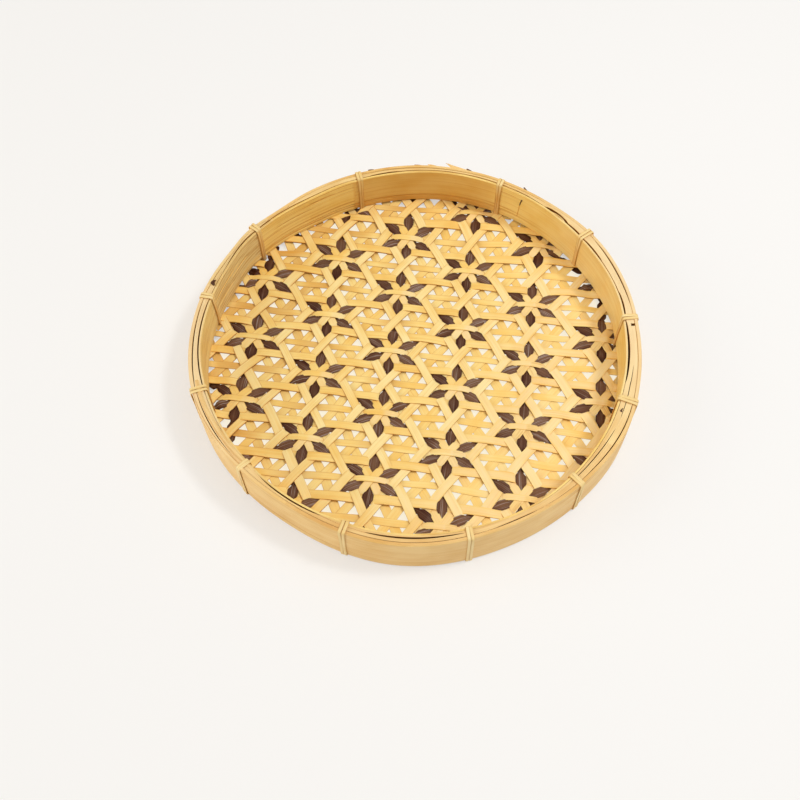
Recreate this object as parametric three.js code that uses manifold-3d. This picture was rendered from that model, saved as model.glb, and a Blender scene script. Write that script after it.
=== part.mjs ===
// Round bamboo plate: a six-way woven mat held between two bent hoops by twelve bindings.
// Millimetres, +Z up. The origin is the middle of the plate, on the surface that it rests on.

import * as THREE from 'three';
import { mergeVertices } from 'three/addons/utils/BufferGeometryUtils.js';
import Module from 'manifold-3d';

const wasm = await Module();
wasm.setup();

// Rim sizes
const OUTER_DIAMETER = 260;
const OUTER_HOOP_HEIGHT = 30;
const OUTER_HOOP_THICKNESS = 2.3;
const INNER_HOOP_THICKNESS = 2.2;
const INNER_HOOP_DROP = 0.8;
const FILLER_THICKNESS = 1.5;
const FILLER_DROP = 1.6;
const EDGE_CHAMFER = 0.5;
const CLEARANCE = 0.3;
const HOOP_FACETS = 60;

// Bindings: two turns of a split strip round the rim, spaced by eye as on the real plate
const BINDING_ANGLES = [4, 34, 64, 106, 141, 167, 196, 221, 251, 281, 311, 338];
const STRAND_WIDTH = 2.4;
const STRAND_THICKNESS = 0.7;
const STRAND_SPACING = 0.6;
const STRAND_TAIL = 1.2;
const CORNER_STEPS = 2;

// Weave: the flowers stand in columns, and the whole mat is a little turned and off centre.
// The maker fits a set number of flowers to the plate, so pitches and places are shares of the mat's diameter.
const FLOWER_PITCH_SHARE = 0.1785;
const COLUMN_PITCH_SHARE = 0.1704;
const FLOWER_PLACE_SHARE = [-0.0655, 0.0246];
const LAST_STRIP_SHARE = 0.4765;
const WEAVE_TURN = -7.8;
const STRIP_THICKNESS = 0.4;
const WEAVE_GAP = 0.1;
const WIDE_STRIP_WIDTH = 4.8;
const STAR_STRIP_WIDTH = 4.4;
const CROSS_STAR_STRIP_WIDTH = 3.2;
const BLACK_STRIP_WIDTH = 4.8;
const EDGE_LAND = 3;

// Rim places that follow from the sizes
const outerRadius = OUTER_DIAMETER / 2;
const outerHoopInside = outerRadius - OUTER_HOOP_THICKNESS;
const fillerOutside = outerHoopInside - CLEARANCE;
const fillerInside = fillerOutside - FILLER_THICKNESS;
const innerHoopOutside = fillerInside - CLEARANCE;
const innerHoopInside = innerHoopOutside - INNER_HOOP_THICKNESS;
const rimBottom = STRAND_THICKNESS + CLEARANCE;
const rimTop = rimBottom + OUTER_HOOP_HEIGHT;
const bindingWidth = 2 * STRAND_WIDTH + STRAND_SPACING;
const matRadius = innerHoopInside - STRAND_THICKNESS - 2 * CLEARANCE;
const edgeInside = matRadius - EDGE_LAND;
const matDiameter = 2 * matRadius;
const flowerPitch = FLOWER_PITCH_SHARE * matDiameter;
const columnPitch = COLUMN_PITCH_SHARE * matDiameter;
const flowerPlace = new THREE.Vector2(...FLOWER_PLACE_SHARE).multiplyScalar(matDiameter);

// Weave directions in degrees. Wide and star strips share one set, the black strips cross it.
const PALE_DIRECTIONS = [0, 60, 120];
const BLACK_DIRECTIONS = [90, 30, 150];
const ROOT_THREE = Math.sqrt(3);
const WIDE_SPACING = 1 / 2;
const STAR_SPACING = 1 / 2;
const BLACK_SPACING = ROOT_THREE / 2;

// The weave is worked out on an even grid whose flowers are 1 apart, then stretched to the real pitches
const stretchAcross = columnPitch / BLACK_SPACING;
const weaveTurn = THREE.MathUtils.degToRad(WEAVE_TURN);

function onMat(across, along) {
  const point = new THREE.Vector2(across * stretchAcross, along * flowerPitch);
  point.rotateAround(new THREE.Vector2(), weaveTurn);
  return point.add(flowerPlace);
}

// One straight strip line: its direction in the grid and how far it passes from the chosen flower
function weaveLine(degrees, offset) {
  const angle = THREE.MathUtils.degToRad(degrees);
  const at = (t) => onMat(
    t * Math.cos(angle) - offset * Math.sin(angle),
    t * Math.sin(angle) + offset * Math.cos(angle),
  );
  const start = at(0);
  const step = at(1).sub(start);
  const scale = step.length();
  const heading = step.clone().normalize();
  const nearest = -start.dot(heading);
  const foot = start.clone().addScaledVector(heading, nearest);
  return { heading, foot, scale, nearest, distance: foot.length() };
}

// Half the length of a strip of a given width that stays inside a circle round the plate's middle
function halfLength(line, width, radius) {
  const reach = line.distance + width / 2;
  return Math.sqrt(radius * radius - reach * reach);
}

function linesAcrossMat(directions, spacing, shift, width, radius) {
  const found = [];
  const most = Math.ceil(matDiameter / (spacing * columnPitch));
  directions.forEach((degrees, direction) => {
    for (let index = -most; index <= most; index += 1) {
      const line = weaveLine(degrees, (index + shift) * spacing);
      if (line.distance < LAST_STRIP_SHARE * matDiameter) {
        const half = halfLength(line, width(direction), radius);
        found.push({ ...line, direction, index, half, width: width(direction) });
      }
    }
  });
  return found;
}

// Wide strips weave with each other: over the strip 60 degrees on, under the one 60 degrees back.
// The rise is what keeps two crossing strips apart as far as the corners of their overlap.
const slant = THREE.MathUtils.degToRad(PALE_DIRECTIONS[1]);
const crossingStep = 1 / (4 * Math.sin(slant));
const tightestCrossing = Math.atan2(ROOT_THREE * flowerPitch, stretchAcross);
const overlapReach = WIDE_STRIP_WIDTH / 2 / Math.tan(tightestCrossing / 2);
const shortestStep = crossingStep * Math.min(
  stretchAcross,
  Math.hypot(stretchAcross * Math.cos(slant), flowerPitch * Math.sin(slant)),
);
const weaveRise = (STRIP_THICKNESS + WEAVE_GAP) / (2 * (1 - (2 * overlapReach) / shortestStep));

// Layers under the wide strips: three of star strips, then three of black strips
const layer = STRIP_THICKNESS + WEAVE_GAP;
const blackBottom = rimBottom;
const starBottom = blackBottom + BLACK_DIRECTIONS.length * layer;
const starTop = starBottom + PALE_DIRECTIONS.length * layer - WEAVE_GAP;
const blackTop = starBottom - WEAVE_GAP;
const wideMiddle = starTop + WEAVE_GAP + weaveRise + STRIP_THICKNESS / 2;

const FINISHES = {
  outerHoop: { color: '#dcb678', roughness: 0.45 },
  innerHoop: { color: '#e0b060', roughness: 0.45 },
  filler: { color: '#c99c58', roughness: 0.6 },
  binding: { color: '#eed08c', roughness: 0.5 },
  wideStrip: { color: '#f8d68a', roughness: 0.5 },
  starStrip: { color: '#f2be56', roughness: 0.55 },
  blackStrip: { color: '#4e3a3a', roughness: 0.4 },
};

const plate = new THREE.Group();

function addPiece(name, geometry, finish) {
  const material = new THREE.MeshStandardMaterial({ ...finish, metalness: 0 });
  const mesh = new THREE.Mesh(geometry, material);
  mesh.name = name;
  plate.add(mesh);
  return mesh;
}

// A hoop of rectangular section, its top and bottom edges eased
function hoop(inside, outside, bottom, top) {
  const profile = [
    [inside, bottom + EDGE_CHAMFER],
    [inside + EDGE_CHAMFER, bottom],
    [outside - EDGE_CHAMFER, bottom],
    [outside, bottom + EDGE_CHAMFER],
    [outside, top - EDGE_CHAMFER],
    [outside - EDGE_CHAMFER, top],
    [inside + EDGE_CHAMFER, top],
    [inside, top - EDGE_CHAMFER],
  ];
  const points = [...profile, profile[0]].map(([radius, height]) => new THREE.Vector2(radius, height));
  return new THREE.LatheGeometry(points, HOOP_FACETS).rotateX(Math.PI / 2);
}

const onMatEdge = starTop + CLEARANCE;
const outerHoop = hoop(outerHoopInside, outerRadius, rimBottom, rimTop);
const innerHoop = hoop(innerHoopInside, innerHoopOutside, onMatEdge, rimTop - INNER_HOOP_DROP);
const rimFiller = hoop(fillerInside, fillerOutside, onMatEdge, rimTop - FILLER_DROP);
addPiece('outer_hoop', outerHoop, FINISHES.outerHoop);
addPiece('inner_hoop', innerHoop, FINISHES.innerHoop);
addPiece('rim_filler', rimFiller, FINISHES.filler);

// The path of a binding round the rim, as radius, height and sideways place
function bindingPath() {
  const off = CLEARANCE + STRAND_THICKNESS / 2;
  const near = innerHoopInside - off;
  const far = outerRadius + off;
  const low = rimBottom - off;
  const high = rimTop + off;
  const bend = CLEARANCE + STRAND_THICKNESS;
  const first = -(STRAND_WIDTH + STRAND_SPACING) / 2;
  const second = -first;
  const lead = STRAND_TAIL + STRAND_SPACING;
  const path = [];
  const corner = (radius, height, fromDegrees, side) => {
    for (let step = 0; step <= CORNER_STEPS; step += 1) {
      const angle = THREE.MathUtils.degToRad(fromDegrees - (90 * step) / CORNER_STEPS);
      path.push([radius + bend * Math.cos(angle), height + bend * Math.sin(angle), side]);
    }
  };
  const overTheRim = (side) => {
    corner(near + bend, low + bend, 270, side);
    corner(near + bend, high - bend, 180, side);
    corner(far - bend, high - bend, 90, side);
    corner(far - bend, low + bend, 0, side);
  };
  path.push([near + bend + STRAND_TAIL, low, first]);
  overTheRim(first);
  path.push([far - bend - lead, low, first]);
  path.push([near + bend + lead, low, second]);
  overTheRim(second);
  path.push([far - bend - STRAND_TAIL, low, second]);
  return path.map(([radius, height, side]) => new THREE.Vector3(radius, side, height));
}

// The direction across the path at one of its points, long enough to keep the strand's thickness in a bend
function acrossPath(path, index) {
  const before = path[Math.max(index - 1, 0)];
  const here = path[index];
  const after = path[Math.min(index + 1, path.length - 1)];
  const square = (from, to) => new THREE.Vector2(from.z - to.z, to.x - from.x).normalize();
  const into = index > 0 ? square(before, here) : square(here, after);
  const out = index < path.length - 1 ? square(here, after) : into;
  const middle = into.clone().add(out).normalize();
  return middle.divideScalar(middle.dot(into));
}

// A flat strand of rectangular section carried along a path, closed at both ends
function flatStrand(path, width, thickness) {
  const corners = [[-1, -1], [-1, 1], [1, 1], [1, -1]];
  const sides = corners.length;
  const positions = [];
  const triangles = [];
  path.forEach((point, index) => {
    const across = acrossPath(path, index).multiplyScalar(thickness / 2);
    corners.forEach(([out, sideways]) => {
      positions.push(
        point.x + out * across.x,
        point.y + (sideways * width) / 2,
        point.z + out * across.y,
      );
    });
  });
  for (let step = 0; step + 1 < path.length; step += 1) {
    for (let side = 0; side < sides; side += 1) {
      const next = (side + 1) % sides;
      const here = step * sides;
      const there = here + sides;
      triangles.push(here + side, there + next, there + side);
      triangles.push(here + side, here + next, there + next);
    }
  }
  const last = (path.length - 1) * sides;
  triangles.push(0, 2, 1, 0, 3, 2);
  triangles.push(last, last + 1, last + 2, last, last + 2, last + 3);
  const geometry = new THREE.BufferGeometry();
  geometry.setAttribute('position', new THREE.Float32BufferAttribute(positions, 3));
  geometry.setIndex(triangles);
  return geometry;
}

// The least gap between the strand's own turns, measured on points along its two edges
function leastGapToItself(path, width) {
  const points = [];
  let travelled = 0;
  for (let index = 0; index + 1 < path.length; index += 1) {
    const length = path[index].distanceTo(path[index + 1]);
    const steps = Math.ceil(length / (STRAND_SPACING / 2));
    for (let step = 0; step < steps; step += 1) {
      const place = path[index].clone().lerp(path[index + 1], step / steps);
      points.push({ place, travelled: travelled + (length * step) / steps });
    }
    travelled += length;
  }
  let least = Infinity;
  points.forEach((one) => points.forEach((other) => {
    if (other.travelled - one.travelled > OUTER_HOOP_HEIGHT) {
      const between = other.place.clone().sub(one.place);
      between.y = Math.max(Math.abs(between.y) - width, 0);
      least = Math.min(least, between.length());
    }
  }));
  return least;
}

const twoDigits = (number) => String(number).padStart(2, '0');
const strandPath = bindingPath();
console.log(`binding: least gap to itself ${leastGapToItself(strandPath, STRAND_WIDTH).toFixed(2)} mm`);

BINDING_ANGLES.forEach((degrees, index) => {
  const geometry = flatStrand(strandPath, STRAND_WIDTH, STRAND_THICKNESS);
  const binding = addPiece(`binding_${twoDigits(index + 1)}`, geometry, FINISHES.binding);
  binding.rotation.z = THREE.MathUtils.degToRad(degrees);
});

// A strip seen from the side is an outline of stations along its length; its width is extruded.
function stripGeometry(stations, width) {
  const half = STRIP_THICKNESS / 2;
  const upper = stations.map(([along, height]) => new THREE.Vector2(along, height + half));
  const lower = stations.map(([along, height]) => new THREE.Vector2(along, height - half));
  const outline = new THREE.Shape([...lower, ...upper.reverse()]);
  const geometry = new THREE.ExtrudeGeometry(outline, { depth: width, bevelEnabled: false });
  return geometry.translate(0, 0, -width / 2).rotateX(Math.PI / 2);
}

// Height of a wide strip by crossing steps: over at every odd step, under at every even one
function weaveHeight(steps) {
  const within = steps - 2 * Math.floor(steps / 2);
  return wideMiddle + weaveRise * (1 - 2 * Math.abs(within - 1));
}

// Stations of a wide strip: its two ends and every crossing between them
function wideStations(line) {
  const stepLength = crossingStep * line.scale;
  const overCrossing = (line.index - 1 / 2) * stepLength - line.nearest;
  const stepsAt = (along) => (along - overCrossing) / stepLength + 1;
  const alongAt = (steps) => overCrossing + (steps - 1) * stepLength;
  const from = stepsAt(-line.half);
  const to = stepsAt(line.half);
  const stations = [[-line.half, weaveHeight(from)]];
  for (let steps = Math.floor(from) + 1; steps < to; steps += 1) {
    stations.push([alongAt(steps), weaveHeight(steps)]);
  }
  stations.push([line.half, weaveHeight(to)]);
  return stations;
}

function layInPlace(object, line) {
  object.position.set(line.foot.x, line.foot.y, 0);
  object.rotation.z = line.heading.angle();
  return object;
}

const DIRECTION_LETTERS = ['a', 'b', 'c'];
const wideCount = [0, 0, 0];
linesAcrossMat(PALE_DIRECTIONS, WIDE_SPACING, 1 / 2, () => WIDE_STRIP_WIDTH, matRadius).forEach((line) => {
  wideCount[line.direction] += 1;
  const name = `wide_strip_${DIRECTION_LETTERS[line.direction]}${twoDigits(wideCount[line.direction])}`;
  const geometry = stripGeometry(wideStations(line), WIDE_STRIP_WIDTH);
  layInPlace(addPiece(name, geometry, FINISHES.wideStrip), line);
});

// Solids for joining, and back again
function solidOf(geometry) {
  const bare = geometry.clone();
  bare.deleteAttribute('normal');
  bare.deleteAttribute('uv');
  const merged = mergeVertices(bare);
  return new wasm.Manifold(new wasm.Mesh({
    numProp: 3,
    vertProperties: new Float32Array(merged.attributes.position.array),
    triVerts: new Uint32Array(merged.index.array),
  }));
}

function geometryOf(solid) {
  const mesh = solid.getMesh();
  const geometry = new THREE.BufferGeometry();
  geometry.setAttribute('position', new THREE.BufferAttribute(mesh.vertProperties, 3));
  geometry.setIndex(new THREE.BufferAttribute(mesh.triVerts, 1));
  return geometry;
}

// The trimmed edge of the mat, lying under the inner hoop, with a slot for each binding to pass through
function matEdge(bottom, top) {
  const edge = new THREE.Shape();
  edge.absarc(0, 0, fillerOutside, 0, 2 * Math.PI);
  const middle = new THREE.Path();
  middle.absarc(0, 0, edgeInside, 0, 2 * Math.PI, true);
  edge.holes.push(middle);
  const slotHalf = bindingWidth / 2 + CLEARANCE;
  BINDING_ANGLES.forEach((degrees) => {
    const corners = [
      [matRadius, -slotHalf],
      [matRadius, slotHalf],
      [innerHoopInside, slotHalf],
      [innerHoopInside, -slotHalf],
    ].map(([radius, side]) => new THREE.Vector2(radius, side));
    const turn = THREE.MathUtils.degToRad(degrees);
    corners.forEach((corner) => corner.rotateAround(new THREE.Vector2(), turn));
    edge.holes.push(new THREE.Path(corners));
  });
  const settings = { depth: top - bottom, bevelEnabled: false, curveSegments: HOOP_FACETS / 2 };
  return new THREE.ExtrudeGeometry(edge, settings).translate(0, 0, bottom);
}

// Straight strips in three layers, one for each direction, joined where they end in the mat's edge
function stripLayers(directions, spacing, width, bottom, top) {
  const stripEnd = edgeInside + EDGE_LAND / 2;
  let joined = solidOf(matEdge(bottom, top));
  linesAcrossMat(directions, spacing, 0, width, stripEnd).forEach((line) => {
    const height = top - STRIP_THICKNESS / 2 - line.direction * layer;
    const stations = [[-line.half, height], [line.half, height]];
    const strip = layInPlace(new THREE.Mesh(stripGeometry(stations, line.width)), line);
    strip.updateMatrix();
    joined = joined.add(solidOf(strip.geometry.applyMatrix4(strip.matrix)));
  });
  return geometryOf(joined);
}

const starWidth = (direction) => (direction === 0 ? CROSS_STAR_STRIP_WIDTH : STAR_STRIP_WIDTH);
const starStrips = stripLayers(PALE_DIRECTIONS, STAR_SPACING, starWidth, starBottom, starTop);
addPiece('star_strips', starStrips, FINISHES.starStrip);

const blackWidth = () => BLACK_STRIP_WIDTH;
const blackStrips = stripLayers(BLACK_DIRECTIONS, BLACK_SPACING, blackWidth, blackBottom, blackTop);
addPiece('black_strips', blackStrips, FINISHES.blackStrip);

export default plate;
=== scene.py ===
# %% [markdown]
# # A woven bamboo wall plate
# The real plate is a flat mat of split bamboo, pinched between two bent hoops that are tied
# together with twelve bindings. Pale strips cross in three directions, and black strips laid in a
# second set of three make the six petals of each flower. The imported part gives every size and
# place. Here each strip gets its true path over and under the others, its grain, and the small
# faults of hand work.

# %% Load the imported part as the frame
import random
from itertools import accumulate
from math import atan2, copysign, cos, degrees as in_degrees, pi, radians, sin, sqrt, tan
from types import SimpleNamespace

import bmesh
import bpy
from mathutils import Matrix, Vector


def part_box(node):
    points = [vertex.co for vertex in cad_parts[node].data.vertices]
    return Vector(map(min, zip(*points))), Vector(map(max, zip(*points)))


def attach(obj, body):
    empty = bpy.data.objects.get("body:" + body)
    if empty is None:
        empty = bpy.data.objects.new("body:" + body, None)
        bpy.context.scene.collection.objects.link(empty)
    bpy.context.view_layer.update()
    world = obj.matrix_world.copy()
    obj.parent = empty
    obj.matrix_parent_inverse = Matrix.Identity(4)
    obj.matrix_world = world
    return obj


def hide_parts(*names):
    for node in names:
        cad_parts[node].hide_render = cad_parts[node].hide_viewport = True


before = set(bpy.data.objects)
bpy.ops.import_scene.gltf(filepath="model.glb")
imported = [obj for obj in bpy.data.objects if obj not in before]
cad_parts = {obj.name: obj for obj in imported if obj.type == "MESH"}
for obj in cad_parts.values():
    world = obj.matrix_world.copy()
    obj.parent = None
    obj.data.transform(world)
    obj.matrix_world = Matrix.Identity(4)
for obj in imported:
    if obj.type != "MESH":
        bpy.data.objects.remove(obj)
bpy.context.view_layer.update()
MM = 0.001

# %% [markdown]
# ## Sizes that every piece shares
# The rim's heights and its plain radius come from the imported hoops. The two thicknesses are those
# that show on top of the rim, a little less than the solids have. All lengths are metres.

# %% Rim sizes from the frame
outer_low, outer_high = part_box("outer_hoop")
inner_low, inner_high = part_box("inner_hoop")
RIM_RADIUS = outer_high.x
RIM_BOTTOM, RIM_TOP = outer_low.z, outer_high.z
INNER_BOTTOM, INNER_TOP = inner_low.z, inner_high.z
OUTER_HOOP_THICKNESS = 2.1 * MM
INNER_HOOP_THICKNESS = 1.3 * MM
print("rim radius, bottom, top, mm:", [round(x / MM, 2) for x in (RIM_RADIUS, RIM_BOTTOM, RIM_TOP)])

# %% [markdown]
# ## A rim that is not quite round
# The hoops are bent by hand. Each binding pulls them in or lets them stand out, and between two
# bindings they bow a little. A circle would look machine made, so two short lists give the radius
# of each hoop's face in mm at a few angles, and a smooth curve runs through them. The same curve
# serves later for the heights of the woven strips.

# %% Helpers: a smooth curve through marks
def cubic(share, here, there, leave, arrive):
    """The smooth way from one value or point to the next, with the slopes at both."""
    square, cube = share ** 2, share ** 3
    return (
        here * (2 * cube - 3 * square + 1) + leave * (cube - 2 * square + share)
        + there * (3 * square - 2 * cube) + arrive * (cube - square)
    )


def smooth_curve(marks, place):
    """The smooth curve through the marks. Each mark's slope comes from its two neighbours."""
    low, high = 1, len(marks) - 2
    while high - low > 1:
        middle = (low + high) // 2
        low, high = (middle, high) if marks[middle][0] <= place else (low, middle)
    before, here, there, after = marks[low - 1:low + 3]
    span = there[0] - here[0]
    leave = (there[1] - before[1]) / (there[0] - before[0]) * span
    arrive = (after[1] - here[1]) / (after[0] - here[0]) * span
    return cubic((place - here[0]) / span, here[1], there[1], leave, arrive)


print("half way between two marks at 1:", smooth_curve([(0, 0), (1, 1), (2, 1), (3, 0)], 1.5))

# %% Shape of the two hoops seen from above
OUTER_MARKS = [
    (0, 129), (14, 130), (32, 131.2), (48, 130), (58, 129.8), (72, 130.3), (90, 130.4), (108, 130),
    (120, 129.2), (132, 128.1), (143, 130.2), (152, 129.7), (167, 131.8), (182, 132.8), (197, 133.2),
    (210, 132), (222, 130.3), (237, 129.2), (264, 131.6), (291, 129.8), (312, 130.1), (330, 131.2),
    (345, 129.6),
]
INNER_MARKS = [
    (0, 120.8), (12, 122.3), (32, 123), (46, 123.7), (65, 125.3), (82, 125.8), (96, 124.8), (110, 123.8),
    (121, 122.8), (135, 124.6), (146, 125.6), (156, 124.8), (170, 125.5), (185, 126), (203, 124.8),
    (220, 124), (248, 124), (262, 124.5), (285, 123.7), (302, 123.4), (320, 121.6), (334, 120.8),
    (348, 120.4),
]


def all_round(marks):
    """The marks again one turn before and one turn after, so that the curve closes."""
    return [(degrees + turn, radius) for turn in (-360, 0, 360) for degrees, radius in marks]


OUTER_CURVE, INNER_CURVE = all_round(OUTER_MARKS), all_round(INNER_MARKS)


def outer_face(degrees):
    return smooth_curve(OUTER_CURVE, degrees % 360) * MM


def inner_face(degrees):
    return smooth_curve(INNER_CURVE, degrees % 360) * MM


def round_plate(degrees, radius, height):
    """A point at an angle round the plate, as the hoops and what lies between them are given."""
    angle = radians(degrees)
    return Vector((radius * cos(angle), radius * sin(angle), height))


rim_depths = [outer_face(a) - inner_face(a) for a in range(0, 360, 5)]
print("rim thickness, mm:", round(min(rim_depths) / MM, 1), "to", round(max(rim_depths) / MM, 1))

# %% [markdown]
# ## The one shape behind every piece
# Hoops, bindings and strips are all the same thing on the bench: a flat strip split from a bamboo
# cane. So one helper makes them all. A grid is the strip laid flat, solidify gives it a second
# face and closed edges, and a place function then carries every point to where the strip runs.
# Each point keeps how far along and across its strip it lies, so that the grain can follow it, and
# how worn it is: at -2 it is weathered, at -1 freshly cut and pale, at 0.5 its fibres show, at 1 it
# is rubbed as the edge of a strip, from 1 to 2 it goes golden brown, and from 2 to 3 dark as a scar.

# %% Helper: a closed strip from a grid
ANY_THICKNESS = 0.1


def split_strip(steps_along, steps_across, place):
    """A closed strip as a bmesh. place(share, side, face) gives a point, its grain, and its wear with any
    painted light.
    """
    shape = bmesh.new()
    grain = shape.verts.layers.float_vector.new("grain")
    wear_and_painted_light = shape.verts.layers.float.new("wear_and_painted_light")
    bmesh.ops.create_grid(shape, x_segments=steps_along, y_segments=steps_across, size=1)
    for vert in shape.verts:
        vert[grain] = ((vert.co.x + 1) / 2, vert.co.y, 0)
    upper = set(shape.verts)
    bmesh.ops.solidify(shape, geom=shape.faces[:], thickness=ANY_THICKNESS)
    for vert in shape.verts:
        share, side, _ = vert[grain]
        vert.co, vert[grain], vert[wear_and_painted_light] = place(share, side, 1 if vert in upper else -1)
    bmesh.ops.recalc_face_normals(shape, faces=shape.faces[:])
    return shape


flat = split_strip(4, 2, lambda share, side, face: (Vector((share, side, face)), (share, side, 0), 0.0))
print("faces of a strip of 4 by 2 steps:", len(flat.faces))
flat.free()

# %% Helper: a piece from its shapes
SHARP = radians(38)


def shade(shape):
    """Smooth faces, but keep the strip's corners sharp."""
    for face in shape.faces:
        face.smooth = True
    for line in shape.edges:
        line.smooth = line.calc_face_angle(0) < SHARP


def add_object(name, data):
    made = bpy.data.objects.new(name, data)
    bpy.context.scene.collection.objects.link(made)
    return made


def make_piece(name, shapes, material, slot, *nodes):
    """One object from one or more shapes, riding on the plate and standing for CAD nodes."""
    mesh = bpy.data.meshes.new(name)
    joined = bmesh.new()
    for shape in shapes:
        shade(shape)
        part = bpy.data.meshes.new("part")
        shape.to_mesh(part)
        shape.free()
        joined.from_mesh(part)
        bpy.data.meshes.remove(part)
    joined.to_mesh(mesh)
    joined.free()
    mesh.materials.append(material)
    piece = add_object(name, mesh)
    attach(piece, "root")
    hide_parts(*nodes)


print("corners stay sharp from, degrees:", round(in_degrees(SHARP)))

# %% [markdown]
# ## Split bamboo as a finish
# Bamboo is a bundle of straight fibres. Split and scraped, it shows fine lines along the strip,
# wider pale and golden streaks, and a slow drift of tone, and no two strips match. A node group
# holds that once. Its coordinates are the grain kept on the points: metres along, metres across,
# and the number of the strip, which moves the noise so that each strip has its own.

# %% Node helpers
def colour(red, green, blue):
    """A colour as seen on screen, 0 to 255, as the linear colour that a shader takes."""
    def linear(value):
        value /= 255
        return value / 12.92 if value <= 0.04045 else ((value + 0.055) / 1.055) ** 2.4
    return (linear(red), linear(green), linear(blue), 1)


def add_node(tree, kind, sockets=None, **settings):
    """One shader node. Its sockets take a number, a colour or another node's output."""
    made = tree.nodes.new("ShaderNode" + kind)
    for name, value in settings.items():
        setattr(made, name, value)
    for key, value in (sockets or {}).items():
        if isinstance(value, bpy.types.NodeSocket):
            tree.links.new(value, made.inputs[key])
        else:
            made.inputs[key].default_value = value
    return made


def maths(tree, operation, first, second=0.0):
    return add_node(tree, "Math", {0: first, 1: second}, operation=operation).outputs[0]


def noise_of(tree, grain, fineness, detail):
    """Noise with its own fineness along the strip, across it and from strip to strip."""
    vector = add_node(tree, "VectorMath", {0: grain, 1: fineness}, operation="MULTIPLY").outputs[0]
    return add_node(tree, "TexNoise", {"Vector": vector, "Scale": 1.0, "Detail": detail}).outputs["Fac"]


def spread(tree, value, low, high, to_low, to_high):
    sockets = {0: value, 1: low, 2: high, 3: to_low, 4: to_high}
    return add_node(tree, "MapRange", sockets).outputs[0]


def mix(tree, amount, first, second, **settings):
    """The first colour where the amount is 0, the second where it is 1."""
    sockets = {0: amount, 6: first, 7: second}
    return add_node(tree, "Mix", sockets, data_type="RGBA", **settings).outputs[2]


def kept_on_points(tree, layer, output):
    return add_node(tree, "Attribute", attribute_name=layer).outputs[output]


def blank_tree(owner):
    """The emptied node tree of a new material or world."""
    owner.use_nodes = True
    owner.node_tree.nodes.clear()
    return owner.node_tree


print("mid grey on screen, linear:", round(colour(128, 128, 128)[0], 3))

# %% Node group: split bamboo
GROUP_SOCKETS = {
    "INPUT": {
        "Grain": "Vector", "Pale": "Color", "Golden": "Color",
        "Wear_and_painted_light": "Float", "Contrast": "Float", "Lines": "Float",
    },
    "OUTPUT": {"Color": "Color", "Height": "Float", "Roughness": "Float"},
}
WEATHERED_GREY, FRESH_CUT = colour(230, 208, 152), colour(248, 224, 182)
GRAIN_WEAR_AND_SHADE_BROWN, SCAR_AND_SHADE_BROWN = colour(212, 167, 94), colour(78, 44, 20)


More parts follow.
